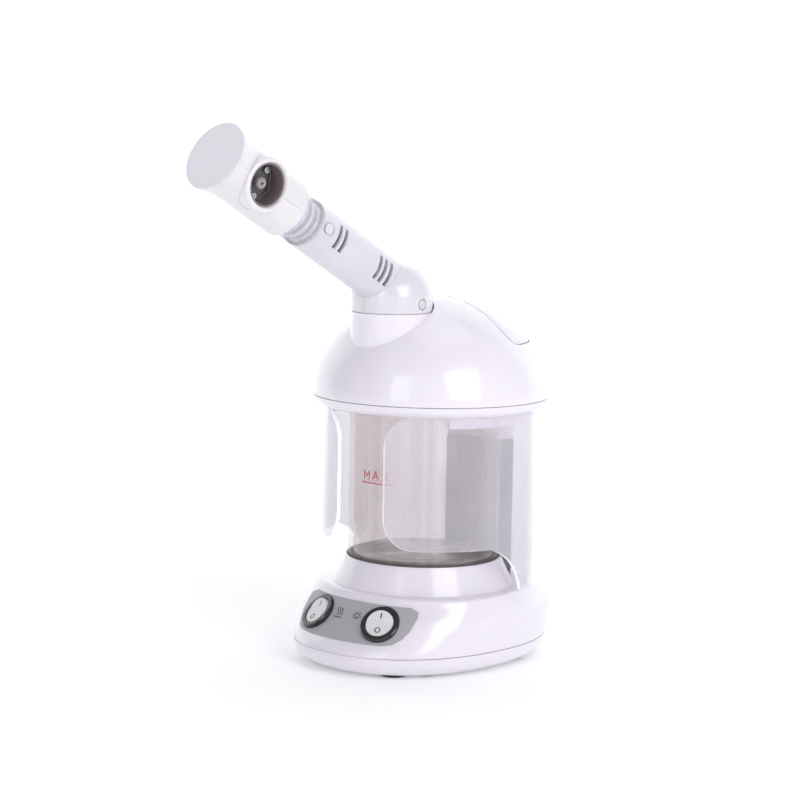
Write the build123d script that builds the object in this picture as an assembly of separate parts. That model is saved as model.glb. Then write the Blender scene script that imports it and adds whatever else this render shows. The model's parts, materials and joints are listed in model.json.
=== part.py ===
# Tabletop facial steamer: a base with two rocker switches and a heated glass vessel, a shield,
# a domed lid with an ozone lamp, and an arm that rises forward to the steam head.
# Frame (mm): origin on the dome axis at the table plane, +Z up, front of the appliance is -Y.
# Azimuths are in degrees from the front, increasing towards +X.
from build123d import *
import os
from math import cos, pi, radians, sin

os.makedirs("parts", exist_ok=True)

# ---------------------------------------------------------------- driving dimensions
VESSEL_Y = -3.6           # y of the vessel / base centre
GAP = 0.05                # running clearance, radial
WALL = 2.4                # moulded wall

# base
PAN_BOTTOM = 1.5
SEAM_Z = 13.0             # pan / housing seam
EDGE_Z = 42.0             # height at which the shelf edge starts to round over
SHELF_Z = 44.0            # top shelf of the housing
SECTIONS = [              # z, front |y|, half width, rear y, superellipse exponent
    (SEAM_Z, 84.0, 65.0, 74.0, 2.20),
    (16.5, 82.0, 64.9, 73.9, 2.25),
    (21.0, 77.5, 64.6, 73.7, 2.35),
    (30.0, 69.0, 64.0, 73.2, 2.50),
    (38.0, 62.3, 63.0, 72.3, 2.40),
    (SHELF_Z, 58.2, 61.8, 71.0, 2.30),
]
CROWN_INSETS = [(EDGE_Z, 0.0), (43.0, 0.45), (43.65, 1.15), (SHELF_Z, 2.2)]             # z, inset
PAN_INSETS = [(PAN_BOTTOM, 10.0), (3.5, 5.0), (6.0, 2.0), (9.0, 0.4), (12.9, 0.0)]      # z, inset
PAN_CAVITY_INSETS = [(4.2, 6.0), (6.0, 3.4), (9.0, 0.8), (13.5, 0.0)]     # z, inset beyond WALL
COLLAR_FOOT_R, COLLAR_TOP_R, COLLAR_Z = 52.8, 45.6, 59.5
CASE_BOSSES = [(-40, -45), (40, -45), (-51, 24), (51, 24)]    # pan to housing screws
STANDOFFS = [(-27, 17), (27, 17), (-27, 47), (27, 47)]        # circuit board stand-offs
FEET = [(-26, -57), (26, -57), (-35, 38), (35, 38)]
FOOT_R, FOOT_TOP = 8.0, 3.2

# rocker switches
SWITCH_X, SWITCH_Y, SWITCH_Z = 24.0, -66.5, 30.0
SWITCH_AZ, SWITCH_ELEVATION = 18.5, 43.0
SWITCH_RIM_R, SWITCH_HOLE_R = 11.5, 10.0
SWITCH_SEAT = -1.1        # rim seating plane below the nominal surface
SWITCH_TOP = 1.8
PIVOT_Z, PIVOT_R = -0.5, 1.2
ROCKER_TILT = 7.0

# mains inlet
INLET_Z = 28.0
INLET_SCREW_X = 17.2
INLET_PINS = [(-7, 26.5), (7, 26.5), (0, 30.5)]     # x, z

# vessel, heater and contacts
GLASS_R, GLASS_T, GLASS_Z0, GLASS_Z1 = 44.1, 3.0, 50.0, 150.0
DISH_R, DISH_Z = 40.6, 61.5
COIL_R, COIL_Z = 28.0, 56.2
COIL_END_X, COIL_END_Y = 8.6, VESSEL_Y + 26.2
COLUMN_HALF = 19.5        # half width of the contact column
COLUMN_SCREW_X, COLUMN_SCREW_Y = 13.5, 52.0
CONTACTS = [(-9.0, 51.6), (0.0, 52.4), (9.0, 51.6)]

# shield and lid
SHIELD_R, SHIELD_T = 61.8, 2.2
SHIELD_Z0, SHIELD_Z1 = 44.5, 146.8
WING_Z, WING_AZ = 71.1, 16.5              # lower edge of the side wings, half angle of the gap
WING_CORNER_R = 18.2
SHIELD_SCREW_AZ, SHIELD_SCREW_Z = (78.0, 125.0, 235.0, 282.0), 143.8
RING_Z0, RING_Z1, RING_R0, RING_R1 = 147.0, 153.6, 62.0, 68.8
DOME_R, DOME_H = RING_R1, 58.0
LID_SCREW_AZ = (70, 140, 220, 290)
COVER_SCREW_AZ = (0, 110, 250)
GRIP_Y, GRIP_Z = 3.6, 185.9               # front and lower edges of the grip opening
GRIP_SCREWS = [(-22.0, 38.0), (22.0, 38.0)]
LAMP_Y, LAMP_Z = 24, 169.5

# neck, arm and steam head; stations s run along the arm axis
PIPE_R, PIPE_BORE_R = 8.0, 6.4
NECK_Y, NECK_R, NECK_Z = -34.92, 23.4, 203.6
ELBOW_SCREW_Z = 209.0
ARM_Z, ARM_TILT = 216.55, 28.39           # arm axis start height, rise angle
TUBE_R, TUBE_T, TUBE_S0, TUBE_S1 = 14.1, 2.0, 3.0, 99.6
TUBE_SLOTS_S, TUBE_SLOT_W = (20.0, 25.0, 29.6, 62.0, 67.0), 2.6
TUBE_SCREW_S = 76.8
HEAD_S0, HEAD_S1, HEAD_R, CAP_R = 100.0, 159.2, 16.5, 19.7
FLARE_S, HEAD_END_S = 138.0, 158.6        # start of the head flare, end of the shells
HEAD_SPLIT = -2.3                         # arm-local y of the parting plane of the head
PORT_S, PORT_TURN = 133.0, -9.0
NOZZLE_SCREW_Y = 7.9


# ---------------------------------------------------------------- helpers
def cyl(r, z0, z1, x=0.0, y=0.0):
    return Pos(x, y, (z0 + z1) / 2) * Cylinder(r, z1 - z0)


def rod_x(r, length, x, y, z):
    """Cylinder along X, centred on the point."""
    return Pos(x, y, z) * Rot(0, 90, 0) * Cylinder(r, length)


def rod_y(r, length, x, y, z):
    """Cylinder along Y, centred on the point."""
    return Pos(x, y, z) * Rot(90, 0, 0) * Cylinder(r, length)


def box(x0, x1, y0, y1, z0, z1):
    return Pos((x0 + x1) / 2, (y0 + y1) / 2, (z0 + z1) / 2) * Box(x1 - x0, y1 - y0, z1 - z0)


def polar(r, azimuth, y=0.0):
    """(x, y) at an azimuth around the vertical axis through (0, y)."""
    return r * sin(radians(azimuth)), y - r * cos(radians(azimuth))


def chain(*points):
    """Straight edges joining successive points."""
    return [Line(start, end) for start, end in zip(points, points[1:])]


def curve_face(plane, curves):
    return make_face([plane * curve for curve in curves])


def poly_face(points, plane=Plane.XZ):
    return make_face(plane * Polyline(*points, close=True))


def rev(points, y=0.0):
    """Solid of revolution about the vertical axis through (0, y) from an (r, z) polygon."""
    return Pos(0, y, 0) * revolve(poly_face(points), axis=Axis.Z)


def rims(shape):
    """Circular edges from the lowest to the highest."""
    return shape.edges().filter_by(GeomType.CIRCLE).sort_by(Axis.Z)


def larger_solids(shape, volume):
    """Solids above a volume, leaving out boolean slivers."""
    return [solid for solid in shape.solids() if solid.volume > volume]


def screws(places, head, shank, slot=None, cross=False):
    """Upright screws: head and shank are (r, z0, z1), slot is (half length, half width, z0, z1)."""
    made = []
    for x, y in places:
        screw = cyl(*head, x, y) + cyl(*shank, x, y)
        if slot:
            length, width, z0, z1 = slot
            screw -= box(x - length, x + length, y - width, y + width, z0, z1)
            if cross:
                screw -= box(x - width, x + width, y - length, y + length, z0, z1)
        made.append(screw)
    return made


def wire_run(points, r):
    """Insulated lead: round section along a polyline with ball corners, as one solid."""
    def straight(start, end):
        start = Vector(*start)
        span = Vector(*end) - start
        return Plane(origin=start, z_dir=span) * Pos(0, 0, span.length / 2) * Cylinder(r, span.length)

    lead = straight(points[0], points[1])
    for start, end in zip(points[1:], points[2:]):
        lead = lead + Pos(*start) * Sphere(r) + straight(start, end)
    return lead


def save(name, built):
    """Write one piece, given as a shape or a list of shapes."""
    shapes = built if isinstance(built, list) else [built]
    solids = [solid for shape in shapes for solid in shape.solids()]
    piece = solids[0] if len(solids) == 1 else Compound(children=solids)
    export_step(piece, f"parts/{name}.step")


# ---------------------------------------------------------------- base shell
def section_face(z, front, half, rear, exponent, inset=0.0, count=48):
    """Horizontal egg-shaped superellipse section of the base."""
    front_axis = front + VESSEL_Y - inset
    rear_axis = rear - VESSEL_Y - inset
    side_axis = half - inset
    points = []
    for i in range(count):
        ct, st = cos(2 * pi * i / count), sin(2 * pi * i / count)
        y_axis = rear_axis if st >= 0 else front_axis
        r = (abs(ct / side_axis) ** exponent + abs(st / y_axis) ** exponent) ** (-1.0 / exponent)
        points.append((r * ct, VESSEL_Y + r * st, z))
    return make_face(Spline(*points, periodic=True))


def outline_at(z):
    """Section parameters interpolated at height z."""
    for lower, upper in zip(SECTIONS, SECTIONS[1:]):
        if z <= upper[0]:
            k = (z - lower[0]) / (upper[0] - lower[0])
            return tuple(a + k * (b - a) for a, b in zip(lower[1:], upper[1:]))


def inset_loft(outline_z, insets, extra=0.0):
    """Loft of one outline through (z, inset) stations."""
    outline = outline_at(outline_z)
    return loft([section_face(z, *outline, inset=inset + extra) for z, inset in insets])


SIDE_SECTIONS = [row for row in SECTIONS if row[0] < EDGE_Z] + [(EDGE_Z,) + outline_at(EDGE_Z)]
SHELL_OUTER = loft([section_face(*row) for row in SIDE_SECTIONS])
SHELL_OUTER = SHELL_OUTER + inset_loft(EDGE_Z, CROWN_INSETS)
BRACKET_LEG_AZ = (180.0, 60.0, -60.0)
BRACKET_SCREWS = [polar(54.0, az, VESSEL_Y) for az in BRACKET_LEG_AZ]
COLUMN_SCREWS = [(side * COLUMN_SCREW_X, COLUMN_SCREW_Y) for side in (-1, 1)]


def base_pan():
    outer = inset_loft(SEAM_Z, PAN_INSETS)
    pan = outer - inset_loft(SEAM_Z, PAN_CAVITY_INSETS, extra=WALL)
    for x, y in CASE_BOSSES:
        pan = pan + (cyl(5.0, 2.0, 12.9, x, y) & outer)
    for x, y in STANDOFFS:
        pan = pan + cyl(3.2, 3.0, 14.0, x, y) - cyl(1.05, 5.0, 14.5, x, y)
    for x, y in CASE_BOSSES:
        pan = pan - cyl(3.6, -1, 8.0, x, y) - cyl(1.7, -1, 14, x, y)
    # feet sit in shallow sockets with a raised pad inside
    for x, y in FEET:
        pan = pan + (cyl(10.0, 2.5, 5.6, x, y) & outer)
        pan = pan - cyl(FOOT_R + GAP, 0.0, FOOT_TOP, x, y)
    # cooling slots through the floor
    for i in range(-3, 4):
        pan = pan - box(i * 6 - 1.1, i * 6 + 1.1, -22, 4, 0, 6)
    return pan


def rubber_feet():
    feet = []
    for x, y in FEET:
        foot = cyl(FOOT_R, 0.0, FOOT_TOP, x, y)
        foot = chamfer(rims(foot)[0], 0.8)
        feet.append(foot - cyl(3.0, -1, 0.8, x, y))
    return feet


def switch_plane(side):
    """Plane on the sloping front face, z out of the face, x across it."""
    az, elevation = radians(SWITCH_AZ), radians(SWITCH_ELEVATION)
    normal = (side * sin(az) * cos(elevation), -cos(az) * cos(elevation), sin(elevation))
    return Plane(origin=(side * SWITCH_X, SWITCH_Y, SWITCH_Z),
                 x_dir=(cos(az), side * sin(az), 0), z_dir=normal)


SWITCH_PLANES = {"hot": switch_plane(-1), "ozone": switch_plane(1)}


def base_housing():
    # the cavity starts 0.1 below the seam
    inner = loft([section_face(z - (0.1 if z == SEAM_Z else 0), *outline, WALL)
                  for z, *outline in SECTIONS])
    inner = inner & box(-90, 90, -100, 100, 12.0, SHELF_Z - WALL)
    housing = SHELL_OUTER - inner
    # collar cone with its stepped bore
    cone = rev([(38, SHELF_Z - WALL), (COLLAR_FOOT_R, SHELF_Z - WALL), (COLLAR_FOOT_R, SHELF_Z),
                (COLLAR_TOP_R, COLLAR_Z), (38, COLLAR_Z)], VESSEL_Y)
    bore = rev([(0, 40), (50.2, 40), (50.2, SHELF_Z), (47.2, 50.2), (47.2, 52.0), (44.75, 52.0),
                (44.75, 61), (0, 61)], VESSEL_Y)
    housing = housing + cone - bore
    for x, y in CASE_BOSSES:
        housing = housing + ((cyl(4.2, 13.2, 42.5, x, y) & SHELL_OUTER) - cyl(1.55, 12, 30, x, y))
    for x, y in BRACKET_SCREWS:
        housing = housing + (cyl(3.4, 36.1, 42.5, x, y) - cyl(1.35, 35, 41.2, x, y))
    for plane in SWITCH_PLANES.values():
        housing = housing - plane * cyl(SWITCH_HOLE_R, -35, 5)
        housing = housing - plane * cyl(SWITCH_RIM_R + 0.1, SWITCH_SEAT, 18.9)
    # rear inlet recess, opening and screw holes
    housing = housing - box(-20.2, 20.2, 71.4, 90, 16.9, 39.1) - box(-14.0, 14.0, 60, 90, 18.0, 38.0)
    for side in (-1, 1):
        housing = housing - rod_y(1.2, 12, side * INLET_SCREW_X, 70, INLET_Z)
    # lead hole under the contact column and its two screw holes
    housing = housing - cyl(1.6, 40, 46, 8.0, 53.0)
    for x, y in COLUMN_SCREWS:
        housing = housing - cyl(1.3, 40, 46, x, y)
    return housing


def control_panel():
    """Thin overlay on the sloping front face."""
    skin = loft([section_face(*row, -0.5) for row in SIDE_SECTIONS]) - SHELL_OUTER
    outline = poly_face([       # x, z
        (-36.0, 39.6), (36.0, 39.6), (40.6, 37.8), (42.0, 34.6), (41.3, 27.8), (39.2, 23.6),
        (36.0, 20.8), (31.5, 20.0), (-31.5, 20.0), (-36.0, 20.8), (-39.2, 23.6), (-41.3, 27.8),
        (-42.0, 34.6), (-40.6, 37.8)])
    panel = skin & (extrude(outline, 120, both=True) & box(-60, 60, -110, 0, 10, 50))
    for plane in SWITCH_PLANES.values():
        panel = panel - plane * Cylinder(SWITCH_RIM_R + 0.1, 30)
    return larger_solids(panel, 5)


# ---------------------------------------------------------------- rocker switches
def switch_body():
    """Rim, drum and contact block in one moulding, in the switch plane."""
    rim = cyl(SWITCH_RIM_R, SWITCH_SEAT, SWITCH_TOP)
    rim = chamfer(rims(rim)[-1], 0.7)
    body = Pos(0, 0, SWITCH_SEAT - 4.0) * Cylinder(9.8, 8.2) + Pos(0, 0, -14.0) * Box(13.5, 13.5, 12.5)
    body = rim + body
    body = body - cyl(8.6, -6.3, SWITCH_TOP + 2)
    return body - rod_x(PIVOT_R + GAP, 18.9, 0, 0, PIVOT_Z)


def rocker():
    """Rocker with a V-shaped top and its pivot pin, tilted about the pivot."""
    bottom, tip = PIVOT_Z - 3.0, 1.3 + 9 * 0.1228
    blade = extrude(poly_face([(-9, bottom), (9, bottom), (9, tip), (0, 1.3), (-9, tip)], Plane.YZ),
                    9, both=True)
    body = blade & (Pos(0, 0, PIVOT_Z) * Sphere(8.45))
    body = body + rod_x(PIVOT_R, 18.8, 0, 0, PIVOT_Z)
    return Pos(0, 0, PIVOT_Z) * Rot(ROCKER_TILT, 0, 0) * Pos(0, 0, -PIVOT_Z) * body


def switch_terminals():
    terminals = []
    for plane in SWITCH_PLANES.values():
        for y in (-4.2, 4.2):
            blade = Pos(0, y, -23.55) * Box(4.8, 0.8, 6.6) - rod_y(0.8, 4, 0, y, -24.8)
            terminals.append(plane * blade)
    return terminals


# ---------------------------------------------------------------- vessel and heater
def glass_vessel():
    """Open glass tube with a rounded upper lip."""
    inner_r = GLASS_R - GLASS_T
    return rev([(inner_r, GLASS_Z0), (GLASS_R, GLASS_Z0), (GLASS_R, GLASS_Z1 - 1.2),
                (GLASS_R - 0.35, GLASS_Z1 - 0.35), (GLASS_R - 1.2, GLASS_Z1),
                (inner_r + 1.2, GLASS_Z1), (inner_r + 0.35, GLASS_Z1 - 0.35),
                (inner_r, GLASS_Z1 - 1.2)], VESSEL_Y)


def heater_plate():
    """Inverted dish with a shallow ring groove on top."""
    dish = rev([(0, DISH_Z), (DISH_R - 0.8, DISH_Z), (DISH_R, DISH_Z - 0.8), (DISH_R, 48.0),
                (46.5, 48.0), (46.5, 46.5), (39.1, 46.5), (39.1, 60.0), (0, 60.0)], VESSEL_Y)
    groove_z = DISH_Z - 0.4
    return dish - rev([(30.0, groove_z), (31.0, groove_z), (31.0, 63), (30.0, 63)], VESSEL_Y)


def vessel_seal():
    return rev([(40.7, 48.0), (46.4, 48.0), (46.4, 51.2), (44.65, 51.8), (44.65, 60.0),
                (44.15, 60.0), (44.15, 50.0), (40.7, 50.0)], VESSEL_Y)


def heating_element():
    """Ring coil, open at the rear, with two end stems and a flat ring under the plate."""
    coil = Pos(0, VESSEL_Y, COIL_Z) * Torus(COIL_R, 3.3)
    coil = coil - box(-7, 7, VESSEL_Y + 20, VESSEL_Y + 34, 50, 62)
    for side in (-1, 1):
        coil = coil + cyl(2.2, 44.0, 56.0, side * COIL_END_X, COIL_END_Y)
    return coil + rev([(24.5, 58.6), (31.5, 58.6), (31.5, 59.98), (24.5, 59.98)], VESSEL_Y)


def thermostat():
    body = cyl(8.0, 51.0, 59.95, 0, VESSEL_Y)
    body = body + box(-13, 13, VESSEL_Y - 3, VESSEL_Y + 3, 58.9, 59.95)
    for x0, x1 in ((-5, -4.2), (4.2, 5)):
        body = body + box(x0, x1, VESSEL_Y - 2.4, VESSEL_Y + 2.4, 45.5, 51.2)
    return body


def thermal_fuse():
    place = (0, VESSEL_Y - 16.5, 57.4)
    return rod_x(2.4, 12, *place) + rod_x(0.6, 19, *place)


def heater_bracket():
    """Flat ring with three Z-shaped legs."""
    foot_z = 34.55
    bracket = rev([(36.0, 45.0), (48.6, 45.0), (48.6, 46.45), (36.0, 46.45)], VESSEL_Y)
    for az in BRACKET_LEG_AZ:
        leg = box(-5, 5, -48.4, -47.0, foot_z, 46.4) + box(-5, 5, -57.6, -47.0, foot_z, 36.05)
        bracket = bracket + Pos(0, VESSEL_Y, 0) * Rot(0, 0, az) * leg
    for x, y in BRACKET_SCREWS:
        bracket = bracket - cyl(1.6, 33, 38, x, y)
    return bracket


def base_screws():
    return screws(CASE_BOSSES, head=(3.2, 5.4, 7.95), shank=(1.5, 7.9, 27.0),
                  slot=(2.2, 0.45, 5, 6.6), cross=True)


def plate_screws():
    """Screws of the heater bracket, the circuit board and the contact column."""
    return (screws(BRACKET_SCREWS, (2.7, 32.5, 34.5), (1.3, 34.4, 40.6), (2, 0.4, 32, 33.3))
            + screws(STANDOFFS, (2.6, 15.7, 17.5), (1.0, 7.0, 15.8), (1.8, 0.35, 16.8, 18))
            + screws(COLUMN_SCREWS, (2.6, 39.6, 41.55), (1.2, 41.5, 50.0)))


# ---------------------------------------------------------------- electronics in the base
def ballast_board():
    board = box(-31, 31, 13, 51, 14.05, 15.65)
    for x, y in STANDOFFS:
        board = board - cyl(1.6, 13, 17, x, y)
    components = [box(-26, -14, 22, 30, 15.7, 20.5), cyl(3.0, 15.7, 26.5, 24, 30),
                  box(14, 22, 38, 44, 15.7, 19.0)]
    return [board] + components


def ballast_transformer():
    body = box(-9, 11, 22, 42, 15.7, 19.2) + box(-6, 8, 20, 44, 18.2, 27.2)
    return body + box(-9, 11, 22, 42, 26.2, 29.6)


def power_inlet():
    """Rear flange and socket body with a chamfered mouth."""
    inlet = box(-20.0, 20.0, 71.5, 73.4, 17.0, 39.0)
    inlet = fillet(inlet.edges().filter_by(Axis.Y), 3.0)
    inlet = inlet + box(-13.5, 13.5, 57.0, 72.0, 18.5, 37.5)
    mouth = poly_face([(-12.0, 20.6), (12.0, 20.6), (12.0, 31.4), (8.0, 35.6), (-8.0, 35.6),
                       (-12.0, 31.4)])
    inlet = inlet - Pos(0, 90, 0) * extrude(mouth, 31.0)
    for side in (-1, 1):
        inlet = inlet - rod_y(1.6, 8, side * INLET_SCREW_X, 72, INLET_Z)
    for x, z in INLET_PINS:
        inlet = inlet - box(x - 1.05, x + 1.05, 50, 60, z - 2.05, z + 2.05)
    return inlet


def inlet_pins():
    return [box(x - 1.0, x + 1.0, 50.5, 70.0, z - 2.0, z + 2.0) for x, z in INLET_PINS]


def inlet_screws():
    made = []
    for x in (-INLET_SCREW_X, INLET_SCREW_X):
        screw = rod_y(2.4, 1.4, x, 74.15, INLET_Z) + rod_y(1.1, 7.6, x, 70.0, INLET_Z)
        made.append(screw - box(x - 1.7, x + 1.7, 74.2, 76, INLET_Z - 0.35, INLET_Z + 0.35))
    return made


# ------------------------------------------- contact column (base) and contact plug (lid)
def arc_block(z, height, half, r_in, r_out):
    """Rear block between a circle on the vessel axis and one on the dome axis."""
    sketch = Circle(r_out) - Pos(0, VESSEL_Y) * Circle(r_in)
    sketch = sketch & (Pos(0, 50) * Rectangle(2 * half, 100))
    return extrude(Pos(0, 0, z) * sketch, height)


def contact_column():
    column = arc_block(SHELF_Z, 80.0, COLUMN_HALF, 46.3, 57.6)
    # clearance over the collar cone
    column = column - rev([
        (0, 43), (COLLAR_FOOT_R + 0.25, 43), (COLLAR_FOOT_R + 0.25, SHELF_Z),
        (COLLAR_TOP_R + 0.3, COLLAR_Z + 0.3), (0, COLLAR_Z + 0.3)], VESSEL_Y)
    # hollow, keeping a wall next to the cone
    hollow = arc_block(SHELF_Z - 1, 77.0, COLUMN_HALF - 2.0, 48.4, 55.6)
    hollow = hollow - rev([
        (0, 40), (COLLAR_FOOT_R + 2.4, 40), (COLLAR_FOOT_R + 2.4, SHELF_Z),
        (COLLAR_TOP_R + 2.4, COLLAR_Z + 0.3), (0, COLLAR_Z + 4)], VESSEL_Y)
    column = column - hollow
    for x, y in CONTACTS:
        column = column - cyl(2.25, 119, 125, x, y)
    for x, y in COLUMN_SCREWS:
        boss = cyl(3.0, 44.0, 52.0, x, y) & arc_block(SHELF_Z, 20, COLUMN_HALF - 1, 46.9, 57.0)
        column = column + boss - cyl(1.25, 43, 51, x, y)
    return larger_solids(column, 20)


def column_sockets():
    return [cyl(2.2, 106, 123.6, x, y) - cyl(1.25, 107.5, 125, x, y) for x, y in CONTACTS]


def contact_plug():
    """Hollow block under the lid ring, with a flange near its top."""
    plug = arc_block(124.4, 20.0, COLUMN_HALF, 47.4, 57.0)
    plug = plug - arc_block(126.8, 20.0, COLUMN_HALF - 2.2, 49.4, 55.2)
    plug = plug + arc_block(143.4, 3.5, COLUMN_HALF + 1.0, 47.4, 57.0)
    for x, y in CONTACTS:
        plug = plug - cyl(1.6, 120, 130, x, y)
    return plug - box(-15, 15, 49.5, 55.2, 126.8, 150)


def contact_pins():
    return [cyl(1.15, 109.5, 137.0, x, y) + cyl(1.55, 124.8, 129.0, x, y) for x, y in CONTACTS]


# ---------------------------------------------------------------- lid ring, inner cover, shield
LID_SCREWS = [polar(54.3, az) for az in LID_SCREW_AZ]
COVER_SCREWS = [polar(54.0, az, VESSEL_Y) for az in COVER_SCREW_AZ]


def lid_ring():
    profile = curve_face(Plane.XZ, [
        ThreePointArc((RING_R0, RING_Z0), (66.5, 149.5), (RING_R1, RING_Z1)),
        *chain((RING_R1, RING_Z1), (66.3, RING_Z1), (65.0, 151.2), (62.8, 149.4), (40, 149.4),
               (40, RING_Z0), (RING_R0, RING_Z0))])
    ring = revolve(profile, axis=Axis.Z) - cyl(47.4, 140, 160, 0, VESSEL_Y)
    # hanging skirt, cut away across the front
    skirt = rev([(57.2, 140.6), (59.35, 140.6), (59.35, 148.2), (57.2, 148.2)])
    wedge = poly_face([(0, 0), polar(100, 52), (0, -200), polar(100, -52)], Plane.XY)
    ring = ring + (skirt - Pos(0, 0, 130) * extrude(wedge, 30))
    for x, y in LID_SCREWS:
        ring = ring - cyl(1.7, 140, 155, x, y)
    for x, y in COVER_SCREWS:
        ring = ring - cyl(1.25, 140, 155, x, y)
    ring = ring - box(-15, 15, 49.6, 55.0, 140, 155)
    for az in SHIELD_SCREW_AZ:
        ring = ring - Rot(0, 0, az) * rod_y(1.1, 10, 0, -58, SHIELD_SCREW_Z)
    return ring


def inner_cover():
    """Disc over the vessel with a steam hole, three screw ears and three ribs."""
    cover = rev([(8.2, 152.0), (45.6, 152.0), (45.6, 145.2), (47.2, 145.2), (47.2, 149.5),
                 (49.5, 149.5), (49.5, 154.4), (8.2, 154.4)], VESSEL_Y)
    for x, y in COVER_SCREWS:
        cover = cover + cyl(3.6, 149.5, 151.5, x, y)
    for az in COVER_SCREW_AZ:
        ear = box(-3.6, 3.6, -54.0, -48.5, 149.5, 151.5)
        cover = cover + Pos(0, VESSEL_Y, 0) * Rot(0, 0, az) * ear
    for x, y in COVER_SCREWS:
        cover = cover - cyl(1.6, 145, 153, x, y)
    for az in (90, 210, 330):
        rib = box(-1, 1, -44, -16, 154.3, 156.4)
        cover = cover + Pos(0, VESSEL_Y, 0) * Rot(0, 0, az) * rib
    return cover


def lid_gasket():
    return rev([(40.4, 150.05), (45.5, 150.05), (45.5, 151.95), (40.4, 151.95)], VESSEL_Y)


def front_sector(half_angle, z0, z1):
    """Vertical wedge centred on the front."""
    steps = max(2, int(2 * half_angle / 15) + 1)
    arc = [polar(90, -half_angle + 2 * half_angle * i / steps) for i in range(steps + 1)]
    return Pos(0, 0, z0) * extrude(poly_face([(0, 0)] + arc, Plane.XY), z1 - z0)


def radial_cut(azimuth, curves):
    """Closed (u, z) outline in the tangent plane, u to increasing azimuth, swept radially."""
    a = radians(azimuth)
    plane = Plane(origin=(60 * sin(a), -60 * cos(a), 0), x_dir=(cos(a), sin(a), 0),
                  z_dir=(sin(a), -cos(a), 0))
    return extrude(curve_face(plane, curves), 30, both=True)


def safety_shield():
    """Two wings joined behind."""
    inner_r = SHIELD_R - SHIELD_T
    shield = rev([(inner_r, SHIELD_Z0), (SHIELD_R, SHIELD_Z0), (SHIELD_R, SHIELD_Z1),
                  (inner_r, SHIELD_Z1)])
    shield = shield - front_sector(WING_AZ, 30, 160) - front_sector(76, 30, WING_Z)
    corner_az, sweep_az = 26.0, 91.0      # azimuths of the tangent planes of the two cuts
    r, over = WING_CORNER_R, 4
    u_edge = SHIELD_R * sin(radians(WING_AZ - corner_az))
    u_mid = u_edge + r
    low_z = SHIELD_Z0 - 2
    lower_edge = [          # azimuth, z
        (75.0, WING_Z), (79.5, 70.2), (85.6, 67.2), (90.6, 63.6), (95.2, 58.6), (99.3, 52.4),
        (101.5, 47.4), (102.6, low_z)]
    for side in (-1, 1):
        # rounded front corners, lower then upper
        for z, up in ((WING_Z + r, -1), (SHIELD_Z1 - r, 1)):
            mid = radians(180 - 45 * up)
            start, middle, end, *outside = [(side * u, v) for u, v in (
                (u_edge, z), (u_mid + r * cos(mid), z + r * sin(mid)), (u_mid, z + up * r),
                (u_mid, z + up * (r + over)), (u_edge - over, z + up * (r + over)),
                (u_edge - over, z))]
            shield = shield - radial_cut(side * corner_az, [
                ThreePointArc(start, middle, end), *chain(end, *outside, start)])
        # lower edge sweeping down to the rear
        points = [(side * SHIELD_R * sin(radians(az - sweep_az)), z) for az, z in lower_edge]
        shield = shield - radial_cut(side * sweep_az, [
            Spline(*points, tangents=((side, 0), (side * 0.25, -1))),
            *chain(points[-1], (points[0][0], low_z), points[0])])
    for az in SHIELD_SCREW_AZ:
        shield = shield - Rot(0, 0, az) * rod_y(1.1, 3.0, 0, -59.6, SHIELD_SCREW_Z)
    return larger_solids(shield, 50)


# ---------------------------------------------------------------- dome, grip
def half_ellipsoid(radius, height):
    """Solid half ellipsoid standing on the lid ring."""
    z0 = RING_Z1
    points = [(radius * cos(radians(t)), z0 + height * sin(radians(t))) for t in range(0, 91, 6)]
    return revolve(curve_face(Plane.XZ, [
        Spline(*points, tangents=((0, 1), (-1, 0))),
        *chain((0, z0 + height), (0, z0), (radius, z0))]), axis=Axis.Z)


def grip_region(clearance, r):
    """Rear upper region of the dome, seen from the side, with one corner rounded to r."""
    y, z = GRIP_Y + clearance, GRIP_Z + clearance
    bend = r * (1 - cos(radians(45)))
    return extrude(curve_face(Plane.YZ, [
        Line((y, 240), (y, z + r)),
        ThreePointArc((y, z + r), (y + bend, z + bend), (y + r, z)),
        *chain((y + r, z), (90, z), (90, 240), (y, 240))]), 80, both=True)


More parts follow.
